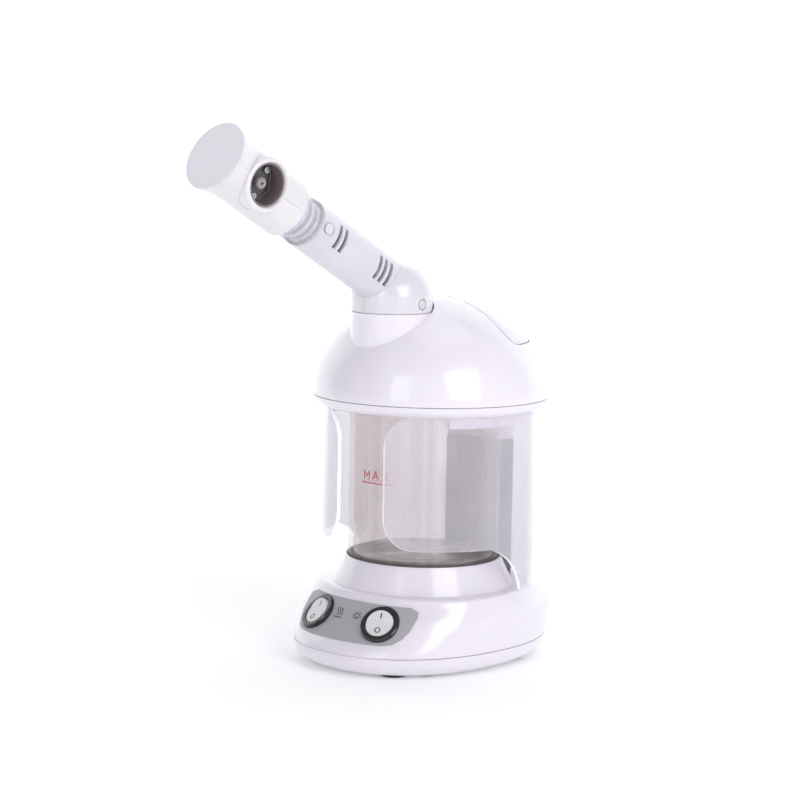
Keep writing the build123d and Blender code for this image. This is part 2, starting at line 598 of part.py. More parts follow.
def dome_cover():
    dome_out = half_ellipsoid(DOME_R, DOME_H)
    dome_in = half_ellipsoid(DOME_R - 2.45, DOME_H - 2.4)
    roof_z = NECK_Z - 2.6         # underside of the neck's flat top
    solid = dome_out + cyl(NECK_R, RING_Z1, NECK_Z, 0, NECK_Y)
    solid = solid - cyl(NECK_R + 0.7, NECK_Z, 240, 0, NECK_Y)
    hollow = dome_in - cyl(NECK_R + 3.0, roof_z, 240, 0, NECK_Y)
    hollow = hollow + cyl(NECK_R - 2.4, RING_Z1, roof_z, 0, NECK_Y)
    dome = solid - hollow
    dome = dome - grip_region(0.0, 9.0)
    # inner lip that carries the grip, just inside the dome wall around the opening
    lip = half_ellipsoid(DOME_R - 2.5, DOME_H - 2.45) - half_ellipsoid(DOME_R - 8.6, DOME_H - 8.4)
    lip = lip & (grip_region(-2.4, 10.0) - grip_region(0.0, 9.0))
    lip = lip - cyl(NECK_R + 3.1, 195, 240, 0, NECK_Y)
    for solid in larger_solids(lip, 50):
        dome = dome + solid
    # lid screw bosses, each webbed to the wall
    room = dome_in + cyl(63.0, 149.5, RING_Z1 + 0.1) + (dome_out & cyl(67.2, RING_Z1, 170))
    for az, (x, y) in zip(LID_SCREW_AZ, LID_SCREWS):
        web = Rot(0, 0, az) * box(-2.5, 2.5, -68, -54.3, 153.7, 166) + cyl(3.4, 149.6, 166.0, x, y)
        dome = dome + (web & room) - cyl(1.35, 149, 163.5, x, y)
    dome = dome - cyl(12.1, 190, 240, 0, NECK_Y)
    # grip screw tabs
    for x, y in GRIP_SCREWS:
        tab = box(x - 5, x + 5, 30, 68, GRIP_Z - 5.3, GRIP_Z - 2.3) & dome_out
        dome = dome + (tab & half_ellipsoid(DOME_R - 1, DOME_H - 1)) - cyl(1.7, 175, 186, x, y)
    return larger_solids(dome, 100)


def lid_grip():
    """Rear cap with a finger scoop under a raised rim; profiles are (r, z)."""
    outer = [(57.0, GRIP_Z - 0.9), (55.8, 187.3), (54.0, 188.9), (51.2, 190.8), (48.0, 193.2),
             (44.4, 196.2), (39.8, 199.8), (34.6, 203.0), (28.0, 206.2), (20.0, 208.9),
             (10.0, 210.7), (0.0, 211.3)]
    inner = [(0.0, 208.7), (10.0, 208.1), (19.4, 206.4), (26.8, 203.9), (33.2, 200.9),
             (38.2, 197.8), (42.8, 194.2), (46.6, 191.0), (50.0, 188.4), (52.4, 186.6),
             (54.2, GRIP_Z - 0.9)]
    profile = curve_face(Plane.XZ, [Spline(*outer), Line(outer[-1], inner[0]),
                                    Spline(*inner), Line(inner[-1], outer[0])])
    grip = revolve(profile, axis=Axis.Z) & grip_region(0.25, 8.8)
    for x, y in GRIP_SCREWS:
        post = cyl(4.0, GRIP_Z - 2.2, 205, x, y) & half_ellipsoid(50.0, DOME_H - 4.5)
        grip = grip + post - cyl(1.35, 180, 194, x, y)
    return larger_solids(grip, 50)


def lid_small_screws():
    """Screws of the inner cover, the shield and the grip."""
    shield_screw = (rod_y(2.2, 1.3, 0, -56.5, SHIELD_SCREW_Z)
                    + rod_y(1.05, 3.8, 0, -58.9, SHIELD_SCREW_Z))
    return (screws(COVER_SCREWS, (2.7, 151.55, 153.3), (1.2, 147.2, 151.6), (2, 0.4, 152.5, 154))
            + [Rot(0, 0, az) * shield_screw for az in SHIELD_SCREW_AZ]
            + screws(GRIP_SCREWS, (2.9, 178.4, 180.5), (1.3, 180.4, 192.0), (2, 0.4, 178, 179.3)))


def lid_screws():
    return screws(LID_SCREWS, (2.4, 145.2, 146.95), (1.3, 146.9, 162.0), (1.8, 0.4, 145, 146.1))


# ---------------------------------------------------------------- steam duct, lamp
def steam_duct():
    """S-shaped pipe from the inner cover to the neck, flanged at both ends."""
    z0 = 154.45
    path = Spline((0, VESSEL_Y, z0), (0, (VESSEL_Y + NECK_Y) / 2, 177.0), (0, NECK_Y, 198.35),
                  tangents=((0, 0, 1), (0, -0.8, 1), (0, 0, 1)))
    duct = sweep(Pos(0, VESSEL_Y, z0) * (Circle(PIPE_R) - Circle(PIPE_BORE_R)), path=path)
    duct = duct + (cyl(13.0, z0, 156.6, 0, VESSEL_Y) - cyl(7.3, 150, 160, 0, VESSEL_Y))
    return duct + (cyl(8.95, 196.4, 198.3, 0, NECK_Y) - cyl(7.2, 190, 200, 0, NECK_Y))


def swivel_seat():
    return rev([(9.0, 196.0), (11.0, 196.0), (11.0, 198.4), (15.0, 198.4), (15.0, NECK_Z - 2.65),
                (12.0, NECK_Z - 2.65), (12.0, 211.35), (13.0, 211.35), (13.0, 211.8),
                (12.7, 212.0), (9.0, 212.0)], NECK_Y)


def swivel_seal():
    return rev([(8.05, 205.0), (8.95, 205.0), (8.95, 207.4), (8.05, 207.4)], NECK_Y)


def ozone_lamp():
    return rod_x(6.0, 26, -2, LAMP_Y, LAMP_Z) + Pos(-15, LAMP_Y, LAMP_Z) * Sphere(6.0)


def lamp_holder():
    return Pos(18.0, LAMP_Y, LAMP_Z) * Box(13.8, 15, 15)


def lamp_bracket():
    return box(11.2, 24.8, 15.0, 34, 154.5, 155.7) + box(11.2, 24.8, 15.0, 16.4, 154.5, 177.0)


def lamp_wires():
    return [wire_run(route, 0.9) for route in (
        [(3.0, 52.4, 137.1), (3.0, 52.4, 158.0), (12.0, 44.0, 164.0), (26.6, 33.0, 167.0),
         (26.6, 27.0, 167.0)],
        [(-3.0, 52.4, 137.1), (-3.0, 52.4, 160.5), (9.0, 42.0, 169.5), (26.0, 33.0, 171.5),
         (26.0, 24.0, 171.5)])]


# ---------------------------------------------------------------- arm
# Arm frame: z runs along the arm, x is +X, y points up and to the rear.
TILT = radians(ARM_TILT)
ARM = Plane(origin=(0, NECK_Y, ARM_Z), x_dir=(1, 0, 0), z_dir=(0, -cos(TILT), sin(TILT)))


def arm_rod(r, s0, s1):
    return ARM * cyl(r, s0, s1)


def arm_tube_solid(r_out, r_in, s0, s1):
    return ARM * (cyl(r_out, s0, s1) - cyl(r_in, s0 - 1, s1 + 1))


def arm_rev(points):
    """Solid of revolution about the arm axis from an (r, s) polygon."""
    return ARM * revolve(poly_face(points), axis=Axis.Z)


def elbow_shell():
    """Whole elbow, before it is split at x = 0."""
    outer = cyl(NECK_R, 203.7, 231.0, 0, NECK_Y)
    outer = fillet(rims(outer)[-1], 18.4)
    outer = chamfer(rims(outer)[0], 0.5)
    inner = cyl(NECK_R - 2.4, 206.2, 228.6, 0, NECK_Y)
    inner = fillet(rims(inner)[-1], 16.0)
    shell = outer - inner
    # sleeve round the arm tube
    sleeve = arm_rod(16.6, -3.0, 30.0) & outer & box(-40, 40, -80, 0, 206.3, 240)
    shell = shell + sleeve - arm_rod(TUBE_R + GAP, TUBE_S0, 60)
    shell = shell - arm_rod(TUBE_R - TUBE_T - 0.3, -6.0, 60)
    # room for the swivel collar
    shell = shell - cyl(16.05, 200, 206.3, 0, NECK_Y)
    shell = shell - cyl(20.6, 206.2, 211.3, 0, NECK_Y) - cyl(13.6, 200, 220, 0, NECK_Y)
    # screw pockets on both flanks
    for side in (-1, 1):
        shell = shell - rod_x(3.3, 3.0, side * 23.0, NECK_Y, ELBOW_SCREW_Z)
        shell = shell - rod_x(1.35, 6, side * 21, NECK_Y, ELBOW_SCREW_Z)
    return shell


ELBOW = elbow_shell()


def elbow_right():
    return larger_solids(ELBOW & box(0.06, 60, -100, 40, 190, 260), 60)


def elbow_left():
    return larger_solids(ELBOW & box(-60, -0.06, -100, 40, 190, 260), 60)


def swivel_collar():
    collar = rev([(12.05, 203.75), (16.0, 203.75), (16.0, 206.3), (20.5, 206.3), (20.5, 211.2),
                  (12.05, 211.2)], NECK_Y)
    for side in (-1, 1):
        collar = collar - rod_x(1.2, 6, side * 19, NECK_Y, ELBOW_SCREW_Z)
    return collar


def arm_tube():
    tube = arm_tube_solid(TUBE_R, TUBE_R - TUBE_T, TUBE_S0, TUBE_S1)
    # slots through both flanks
    fan_points = [(0, 0)] + [(40 * cos(radians(t)), 40 * sin(radians(t)))
                             for t in (-30, -15, 0, 15, 30)]
    for s in TUBE_SLOTS_S:
        for turn in (0, 180):
            fan = extrude(poly_face(fan_points, Plane.XY), TUBE_SLOT_W / 2, both=True)
            tube = tube - ARM * Pos(0, 0, s) * Rot(0, 0, turn) * fan
    # stepped screw pocket near the far end
    for r, length, x in ((3.4, 2.2, 13.9), (4.7, 3.0, 14.8), (1.3, 6, 11)):
        tube = tube - ARM * rod_x(r, length, x, 0, TUBE_SCREW_S)
    # the lower end is cut clear of the swivel collar
    return tube - cyl(21.3, 190.0, 213.8, 0, NECK_Y)


def bent_rod(r, z0, s1):
    """Solid rod up the neck axis, round the bend and along the arm."""
    return (cyl(r, z0, ARM_Z, 0, NECK_Y) + Pos(0, NECK_Y, ARM_Z) * Sphere(r) + arm_rod(r, 0, s1))


def steam_pipe():
    bore = bent_rod(PIPE_BORE_R, 196.0, 90.0)
    pipe = bent_rod(PIPE_R, 198.5, 88.0) - bore
    # centring spider that takes the tube screw
    spider = arm_tube_solid(12.0, 7.9, 73.8, 79.8) - ARM * rod_x(1.15, 7, 10, 0, TUBE_SCREW_S)
    return pipe + spider - bore


def arm_screws():
    """Two elbow screws and the tube screw, all with cross slots."""
    made = []
    for side in (-1, 1):
        slot = Pos(side * 23.2, NECK_Y, ELBOW_SCREW_Z)
        made.append(rod_x(2.6, 1.6, side * 22.35, NECK_Y, ELBOW_SCREW_Z)
                    + rod_x(1.15, 5.0, side * 19.4, NECK_Y, ELBOW_SCREW_Z)
                    - slot * Box(1.2, 3.6, 0.7) - slot * Box(1.2, 0.7, 3.6))
    slot = Pos(14.1, 0, TUBE_SCREW_S)
    made.append(ARM * (rod_x(2.7, 1.2, 13.5, 0, TUBE_SCREW_S)
                       + rod_x(1.1, 4.6, 11.4, 0, TUBE_SCREW_S)
                       - slot * Box(0.8, 3.6, 0.7) - slot * Box(0.8, 0.7, 3.6)))
    return made


def pipe_seal():
    return arm_rev([(8.02, 85.0), (8.9, 85.0), (8.9, 87.0), (8.02, 87.0)])


# ---------------------------------------------------------------- steam head
# Port frame: origin on the arm axis, z out through the port, x back down the arm.
PORT = ARM * Pos(0, 0, PORT_S) * Rot(0, 0, PORT_TURN) * Rot(0, 90, 0)


def head_shell():
    """Whole flared head shell, before it is split; profiles are (r, s)."""
    outer = curve_face(Plane.XZ, [
        *chain((0, HEAD_S0), (HEAD_R, HEAD_S0), (HEAD_R, FLARE_S)),
        Spline((HEAD_R, FLARE_S), (16.7, 143.0), (17.2, 148.0), (18.0, 152.5), (19.0, 156.2),
               (CAP_R, HEAD_END_S), tangents=((0, 1), (0.6, 1))),
        *chain((CAP_R, HEAD_END_S), (0, HEAD_END_S), (0, HEAD_S0))])
    outer = ARM * revolve(outer, axis=Axis.Z)
    inner = curve_face(Plane.XZ, [
        *chain((0, 102.4), (14.1, 102.4), (14.1, FLARE_S)),
        Spline((14.1, FLARE_S), (14.5, 144.0), (15.2, 149.0), (16.6, 154.6),
               tangents=((0, 1), (0.35, 1))),
        *chain((16.6, 154.6), (18.3, 160.0), (0, 160.0), (0, 102.4))])
    head = outer - ARM * revolve(inner, axis=Axis.Z)
    # port opening with a collar inside the wall
    head = head - PORT * (Pos(0, 0, 14) * Cylinder(14.75, 20))
    collar = Pos(0, 0, 11.6) * (Cylinder(16.2, 9.0) - Cylinder(14.75, 12))
    head = head + (PORT * collar & outer)
    return head - arm_rod(12.05, 98, 104)


HEAD = head_shell()


def head_half(side):
    """Part of the head on one side of the parting plane, 0.04 clear of it."""
    return larger_solids(HEAD & (ARM * (Pos(0, HEAD_SPLIT + side * 50.04, 120) * Box(100, 100, 100))), 30)


def head_shell_upper():
    return head_half(1)


def head_shell_lower():
    return head_half(-1)


def end_cap():
    cap = arm_rev([(0, 157.6), (17.3, 157.6), (17.6, 158.7), (CAP_R, 158.7), (CAP_R, 159.0),
                   (19.4, HEAD_S1), (0, HEAD_S1)])
    return cap + arm_rev([(14.0, 153.0), (15.6, 153.0), (16.2, 157.7), (14.0, 157.7)])


def port_bezel():
    bezel = Pos(0, 0, 12.7) * Cylinder(14.7, 11.8)
    bezel = fillet(rims(bezel)[-1], 1.0)
    bezel = bezel - Pos(0, 0, 12.7) * Cylinder(12.0, 14.0)
    return PORT * (bezel - Pos(0, 0, 18.4) * Cylinder(12.6, 1.2))


def nozzle_body():
    """Cup with a round chamber, a steam inlet and two screw bosses."""
    body = Pos(0, 0, 8.2) * Cylinder(11.9, 18.4) - Pos(0, 0, 14.1) * Cylinder(10.9, 16.0)
    body = body - Pos(0, 0, 2.0) * Cylinder(5.0, 8.4)
    body = body - rod_x(4.2, 12, 8, 0, 1.5)
    for y in (-NOZZLE_SCREW_Y, NOZZLE_SCREW_Y):
        body = body + Pos(0, y, 7.4) * Cylinder(2.2, 3.0) - Pos(0, y, 7.0) * Cylinder(1.0, 4.4)
    return PORT * body


def nozzle_plate():
    rhombus = poly_face([(0, -10.6), (3.4, -9.4), (8.4, 0), (3.4, 9.4), (0, 10.6), (-3.4, 9.4),
                         (-8.4, 0), (-3.4, -9.4)], Plane.XY)
    plate = Pos(0, 0, 8.95) * extrude(rhombus, 1.6)
    plate = plate - Pos(0, 0, 9) * Cylinder(4.3, 1.8) - Pos(0, 0, 9) * Cylinder(3.4, 6)
    for y in (-NOZZLE_SCREW_Y, NOZZLE_SCREW_Y):
        plate = plate - Pos(0, y, 9) * Cylinder(1.2, 6)
    return PORT * plate


def nozzle_tip():
    tip = Pos(0, 0, 8.0) * Cylinder(4.2, 3.4) + Pos(0, 0, 11.3) * Cylinder(3.3, 4.0)
    tip = chamfer(rims(tip)[-1], 0.8)
    return PORT * (tip - Pos(0, 0, 8) * Cylinder(0.9, 14))


def nozzle_screws():
    made = []
    for y in (-NOZZLE_SCREW_Y, NOZZLE_SCREW_Y):
        screw = Pos(0, y, 11.3) * Cylinder(1.8, 1.3) + Pos(0, y, 8.6) * Cylinder(0.95, 4.4)
        slot = Pos(0, y, 12.0)
        made.append(PORT * (screw - slot * Box(3.0, 0.6, 1.0) - slot * Box(0.6, 3.0, 1.0)))
    return made


def head_spigot():
    """Spigot with two seal grooves and a thin tube reaching the nozzle."""
    spigot = arm_rev([
        (8.95, 84.0), (12.0, 84.0), (12.0, 86.0), (11.2, 86.0), (11.2, 88.6), (12.0, 88.6),
        (12.0, 91.0), (11.2, 91.0), (11.2, 93.6), (12.0, 93.6), (12.0, 102.4), (13.9, 102.4),
        (13.9, 104.6), (6.4, 104.6), (6.4, 101.0), (8.95, 101.0)])
    spigot = spigot + arm_tube_solid(6.4, 4.2, 104.0, 120.9)
    return spigot - arm_rod(4.2, 80, 130)


def spigot_seals():
    return [arm_rev([(11.25, s), (12.05, s), (12.05, s + 2.5), (11.25, s + 2.5)])
            for s in (86.05, 91.05)]


# ---------------------------------------------------------------- leads in the base
def wiring():
    """Two mirrored pairs of leads and the one that climbs the contact column."""
    paired = [
        [(7, 50.3, 26.5), (7, 47.5, 26.5), (36, 43, 24), (40, 10, 20), (34, -20, 12),
         (22, -41.0, 10.0)],
        [(14, -40, 13.0), (8, -24, 20), (COIL_END_X, 10, 32), (COIL_END_X, COIL_END_Y, 38.0),
         (COIL_END_X, COIL_END_Y, 43.8)]]
    leads = [wire_run([(side * x, y, z) for x, y, z in route], 1.0)
             for route in paired for side in (-1, 1)]
    column = [(13, 46.4, 18.0), (13, 46.6, 36.0), (8.0, 53.0, 40.0), (8.0, 53.0, 60.0),
              (9.0, 51.6, 100.0), (9.0, 51.6, 105.8)]
    return leads + [wire_run(column, 1.0)]


# ---------------------------------------------------------------- build
for switch, plane in SWITCH_PLANES.items():
    save(switch + "_switch_body", plane * switch_body())
    save(switch + "_rocker", plane * rocker())

for build in (
    base_pan, rubber_feet, base_housing, control_panel, switch_terminals,
    glass_vessel, heater_plate, vessel_seal, heating_element, thermostat, thermal_fuse,
    heater_bracket, base_screws, plate_screws, ballast_board, ballast_transformer,
    power_inlet, inlet_pins, inlet_screws,
    contact_column, column_sockets, contact_plug, contact_pins,
    lid_ring, inner_cover, lid_gasket, safety_shield, dome_cover, lid_grip,
    lid_small_screws, lid_screws, steam_duct, swivel_seat, swivel_seal,
    ozone_lamp, lamp_holder, lamp_bracket, lamp_wires,
    elbow_right, elbow_left, swivel_collar, arm_tube, steam_pipe, arm_screws, pipe_seal,
    head_shell_upper, head_shell_lower, end_cap, port_bezel,
    nozzle_body, nozzle_plate, nozzle_tip, nozzle_screws, head_spigot, spigot_seals, wiring,
):
    save(build.__name__, build())
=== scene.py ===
# A table-top steamer with an ozone lamp: a round base with a control panel, a glass vessel behind
# a milky shield, a domed lid with a grip, and an arm that carries the nozzle head.
# Metres, +Z up. The base stands on z = 0 round the Z axis; the panel and rockers face the front, -Y.
import bpy, bmesh, json, math
from mathutils import Vector, Matrix
from mathutils.bvhtree import BVHTree


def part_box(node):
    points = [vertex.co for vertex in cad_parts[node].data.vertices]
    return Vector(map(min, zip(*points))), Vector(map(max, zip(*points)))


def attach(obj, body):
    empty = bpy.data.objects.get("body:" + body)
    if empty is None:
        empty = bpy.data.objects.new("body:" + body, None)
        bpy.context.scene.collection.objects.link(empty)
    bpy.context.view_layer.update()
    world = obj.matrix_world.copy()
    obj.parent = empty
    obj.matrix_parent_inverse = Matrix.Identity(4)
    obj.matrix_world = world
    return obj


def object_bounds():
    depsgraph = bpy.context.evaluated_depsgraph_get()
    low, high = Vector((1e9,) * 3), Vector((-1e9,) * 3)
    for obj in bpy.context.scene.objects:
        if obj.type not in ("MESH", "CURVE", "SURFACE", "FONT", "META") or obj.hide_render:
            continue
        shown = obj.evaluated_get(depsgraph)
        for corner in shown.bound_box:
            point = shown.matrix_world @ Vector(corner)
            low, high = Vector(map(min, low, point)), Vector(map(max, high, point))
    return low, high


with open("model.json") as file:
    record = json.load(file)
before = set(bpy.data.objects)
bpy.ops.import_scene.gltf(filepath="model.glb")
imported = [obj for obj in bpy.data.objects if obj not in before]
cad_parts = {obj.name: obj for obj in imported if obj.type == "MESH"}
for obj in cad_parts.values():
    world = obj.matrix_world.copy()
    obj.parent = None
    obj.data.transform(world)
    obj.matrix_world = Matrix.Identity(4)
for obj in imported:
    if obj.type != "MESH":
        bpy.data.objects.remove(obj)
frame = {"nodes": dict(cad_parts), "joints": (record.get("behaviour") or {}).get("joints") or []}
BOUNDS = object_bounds()
NODES = frame["nodes"]
JOINTS = {joint["name"]: joint for joint in frame["joints"]}
mm = 0.001
UP = Vector((0, 0, 1))

glass_low, glass_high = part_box("glass_vessel")
GLASS_CENTRE = (glass_low + glass_high) / 2
GLASS_R = (glass_high.x - glass_low.x) / 2
ARM_START = Vector(JOINTS["head_swivel"]["pos_m"])
ARM_AXIS = Vector(JOINTS["head_swivel"]["axis"]).normalized()

scene = bpy.context.scene
MATERIALS = {}


# ------------------------------------------------------------------ shader graph helpers
class Graph:
    """Adds nodes to a shader tree; an input may be a number, a colour or another node's socket."""

    def __init__(self, tree):
        self.tree = tree
        self.coords = self.node("TexCoord").outputs
        self.place = self.coords["Object"]

    def put(self, socket, value):
        if isinstance(value, bpy.types.NodeSocket):
            self.tree.links.new(value, socket)
        elif socket.type == "RGBA":
            socket.default_value = (*value, 1.0)
        else:
            socket.default_value = value

    def node(self, kind, inputs=(), **settings):
        node = self.tree.nodes.new("ShaderNode" + kind)
        for key, value in settings.items():
            setattr(node, key, value)
        for key, value in dict(inputs).items():
            self.put(node.inputs[key], value)
        return node

    def noise(self, scale, detail=3.0, rough=0.5, vector=None):
        return self.node("TexNoise", {"Scale": scale, "Detail": detail, "Roughness": rough,
                                      "Vector": vector or self.place}).outputs["Fac"]

    def stretch(self, scale, rotation=(0, 0, 0)):
        return self.node("Mapping", {"Scale": scale, "Rotation": rotation,
                                     "Vector": self.place}).outputs["Vector"]

    def ramp(self, value, over, to=(0.0, 1.0)):
        """Maps the range `over` onto the range `to`, held at both ends."""
        return self.node("MapRange", {"From Min": over[0], "From Max": over[1], "To Min": to[0],
                                      "To Max": to[1], "Value": value}).outputs["Result"]

    def math(self, operation, *values):
        return self.node("Math", enumerate(values), operation=operation).outputs[0]

    def vector_math(self, operation, *values):
        node = self.node("VectorMath", enumerate(values), operation=operation)
        return node.outputs["Value" if operation in ("DOT_PRODUCT", "LENGTH") else "Vector"]

    def combine(self, x, y):
        return self.node("CombineXYZ", {0: x, 1: y}).outputs[0]

    def mix(self, factor, a, b):
        # sockets 0, 6 and 7 are the factor and the two colours; output 2 is the mixed colour
        return self.node("Mix", {0: factor, 6: a, 7: b}, data_type="RGBA").outputs[2]

    def bump(self, height, strength, distance, normal=None):
        inputs = {"Strength": strength, "Distance": distance, "Height": height}
        if normal is not None:
            inputs["Normal"] = normal
        return self.node("Bump", inputs).outputs["Normal"]

    def bevel(self, radius, samples=4):
        """Rounds the shading of edges; radius in mm."""
        return self.node("Bevel", {"Radius": radius * mm}, samples=samples).outputs["Normal"]

    def facing(self, blend):
        return self.node("LayerWeight", {"Blend": blend}).outputs["Facing"]

    def principled(self, **inputs):
        named = {key.replace("_", " "): value for key, value in inputs.items()}
        return self.node("BsdfPrincipled", named).outputs[0]

    def clear(self, colour=(1.0, 1.0, 1.0)):
        return self.node("BsdfTransparent", {"Color": colour}).outputs[0]

    def mix_shader(self, factor, a, b):
        return self.node("MixShader", {0: factor, 1: a, 2: b}).outputs[0]


class Material(Graph):
    """A new material, filed in MATERIALS under its name."""

    def __init__(self, name):
        material = bpy.data.materials.new(name)
        material.use_nodes = True
        material.node_tree.nodes.clear()
        MATERIALS[name] = material
        super().__init__(material.node_tree)
        self.output = self.node("OutputMaterial")

    def finish(self, shader):
        self.put(self.output.inputs["Surface"], shader)

    def round_glass(self):
        """Position as x, y from the vessel's axis, height, and angle round that axis."""
        x, y, z = self.node("SeparateXYZ", {0: self.place}).outputs
        x = self.math("SUBTRACT", x, GLASS_CENTRE.x)
        y = self.math("SUBTRACT", y, GLASS_CENTRE.y)
        return x, y, z, self.math("ARCTAN2", y, x)


def shade(colour, factor):
    return tuple(channel * factor for channel in colour)


# ------------------------------------------------------------------ plain plastics and metals
def moulded(name, base, rough, drift, grain, bevel, coat=0.0, sss=0.0):
    """Moulded plastic: faint drift of colour, orange-peel bump, handling marks, soft edges."""
    mat = Material(name)
    colour = mat.mix(mat.ramp(mat.noise(14.0, detail=4.0), over=(0.3, 0.7)),
                     shade(base, 1 - drift), shade(base, 1 + drift * 0.6))
    speck = mat.noise(900.0, detail=2.0)
    speck_strength = 3.5 * drift if drift < 0.1 else 0.3
    colour = mat.mix(mat.ramp(speck, over=(0.72, 0.8), to=(0.0, speck_strength)),
                     colour, shade(base, 0.86))
    smudge = mat.noise(45.0, detail=5.0, rough=0.6)
    scratches = mat.noise(60.0, detail=2.0,
                          vector=mat.stretch((1.0, 14.0, 3.0), rotation=(0.3, 0.5, 0.8)))
    roughness = mat.math("ADD",
                         mat.ramp(smudge, over=(0.3, 0.75), to=(rough * 0.85, rough * 1.25)),
                         mat.ramp(scratches, over=(0.68, 0.74), to=(0.0, 0.12)))
    normal = mat.bevel(bevel) if bevel else None
    peel = mat.noise(260.0, detail=2.0)
    normal = mat.bump(peel, strength=grain, distance=0.0004, normal=normal)
    normal = mat.bump(mat.noise(2200.0, detail=1.0), strength=grain * 0.6, distance=0.0001,
                      normal=normal)
    extra = {}
    if coat:
        extra.update(Coat_Weight=coat,
                     Coat_Roughness=mat.ramp(smudge, over=(0.3, 0.8), to=(0.07, 0.12)))
    if sss:
        extra.update(Subsurface_Weight=sss, Subsurface_Radius=(0.004, 0.004, 0.005),
                     Subsurface_Scale=0.5)
    mat.finish(mat.principled(Base_Color=colour, Roughness=roughness, Metallic=0.0,
                              Normal=normal, **extra))


def metal(name, base, rough, brushed):
    """Metal with fine brush lines along X."""
    mat = Material(name)
    cloud = mat.noise(70.0, detail=4.0)
    colour = mat.mix(mat.ramp(cloud, over=(0.3, 0.7)), shade(base, 0.86), shade(base, 1.06))
    lines = mat.noise(90.0, detail=3.0, rough=0.6, vector=mat.stretch((1.0, 60.0, 60.0)))
    roughness = mat.math("ADD", mat.ramp(cloud, over=(0.2, 0.8), to=(rough * 0.8, rough * 1.3)),
                         mat.ramp(lines, over=(0.3, 0.8), to=(0.0, 0.12 + brushed * 0.2)))
    normal = mat.bump(lines, strength=0.05 + brushed * 0.25, distance=0.0003,
                      normal=mat.bevel(0.15))
    mat.finish(mat.principled(Base_Color=colour, Roughness=roughness, Metallic=1.0,
                              Normal=normal))


# name, colour, roughness, colour drift, grain, edge bevel in mm [, clear coat [, subsurface]]
PLASTICS = [
    ("white_shell", (0.79, 0.755, 0.835), 0.34, 0.012, 0.008, 0.35, 1.0, 0.08),
    ("white_elbow", (0.685, 0.665, 0.725), 0.26, 0.012, 0.006, 0.35, 1.0, 0.08),
    ("white_head", (0.715, 0.70, 0.725), 0.42, 0.015, 0.02, 0.3, 0.25, 0.08),
    ("grip_white", (0.76, 0.73, 0.81), 0.38, 0.015, 0.02, 0.35, 0.5, 0.08),
    ("end_lavender", (0.79, 0.765, 0.825), 0.5, 0.015, 0.03, 0.15),
    ("white_plastic", (0.80, 0.79, 0.82), 0.4, 0.03, 0.06, 0.3),
    ("grey_overlay", (0.40, 0.385, 0.42), 0.42, 0.05, 0.12, 0.15),
    ("black_gloss", (0.012, 0.012, 0.014), 0.18, 0.2, 0.04, 0.3, 0.3),
    ("nozzle_brown", (0.20, 0.155, 0.165), 0.3, 0.1, 0.06, 0.2, 0.4),
    ("black_matt", (0.02, 0.018, 0.019), 0.45, 0.2, 0.1, 0.25),
    ("rocker_grey", (0.72, 0.715, 0.73), 0.3, 0.04, 0.05, 0.35, 0.2),
    ("grey_plastic", (0.20, 0.19, 0.235), 0.42, 0.06, 0.08, 0.4),
    ("lens_grey", (0.34, 0.31, 0.325), 0.35, 0.08, 0.08, 0.2),
    ("rubber_black", (0.018, 0.018, 0.018), 0.7, 0.15, 0.2, 0.3),
    ("seal_dark", (0.13, 0.125, 0.13), 0.55, 0.08, 0.1, 0.2),
    ("seal_grey", (0.33, 0.32, 0.355), 0.45, 0.05, 0.05, 0.2),
    ("silicone", (0.72, 0.72, 0.73), 0.5, 0.04, 0.1, 0.3, 0.0, 0.3),
    ("board_green", (0.03, 0.16, 0.07), 0.35, 0.15, 0.1, 0.1),
    ("core_dark", (0.06, 0.055, 0.05), 0.5, 0.2, 0.2, 0.2),
    ("lead_red", (0.45, 0.05, 0.04), 0.45, 0.1, 0.1, 0.0),
    ("mark_red", (0.55, 0.045, 0.07), 0.45, 0.08, 0.05, 0.0),
    ("mark_dark", (0.03, 0.03, 0.035), 0.5, 0.1, 0.05, 0.0),
    ("mark_white", (0.8, 0.8, 0.8), 0.5, 0.05, 0.05, 0.0),
    # the seam colour is painted shadow for the dark lines in the seams
    ("seam", (0.22, 0.205, 0.235), 0.6, 0.1, 0.1, 0.0),
]
# name, colour, roughness, strength of the brush lines
METALS = [
    ("screw_pale", (0.86, 0.86, 0.88), 0.35, 0.1),
    ("polished", (0.72, 0.72, 0.74), 0.12, 0.1),
    ("steel", (0.52, 0.51, 0.50), 0.28, 0.4),
    ("zinc", (0.60, 0.60, 0.60), 0.3, 0.2),
    ("chrome", (0.42, 0.42, 0.43), 0.16, 0.0),
    ("brass", (0.72, 0.52, 0.22), 0.28, 0.2),
]


# ------------------------------------------------------------------ special materials
def nozzle_plate_black():
    """Gloss black plate; its rounded edges carry a painted highlight in a pale colour."""
    mat = Material("nozzle_plate_black")
    flat = mat.node("NewGeometry").outputs["Normal"]
    rounded = mat.bevel(0.55, samples=6)
    edge = mat.ramp(mat.vector_math("DOT_PRODUCT", flat, rounded), over=(0.985, 0.80))
    wear_and_highlight_noise = mat.noise(300.0, detail=3.0)
    colour = mat.mix(mat.ramp(wear_and_highlight_noise, over=(0.35, 0.7)),
                     (0.018, 0.014, 0.016), (0.035, 0.028, 0.031))
    # painted highlight: a pale colour along the rounded edges, broken up by the noise
    painted_edge_highlight = mat.math("MULTIPLY", edge, mat.ramp(wear_and_highlight_noise, over=(0.2, 0.5), to=(0.6, 1.0)))
    colour = mat.mix(painted_edge_highlight, colour, (0.80, 0.79, 0.80))
    mat.finish(mat.principled(
        Base_Color=colour, Roughness=mat.ramp(wear_and_highlight_noise, over=(0.3, 0.7), to=(0.2, 0.34)),
        Normal=rounded, Coat_Weight=0.4))


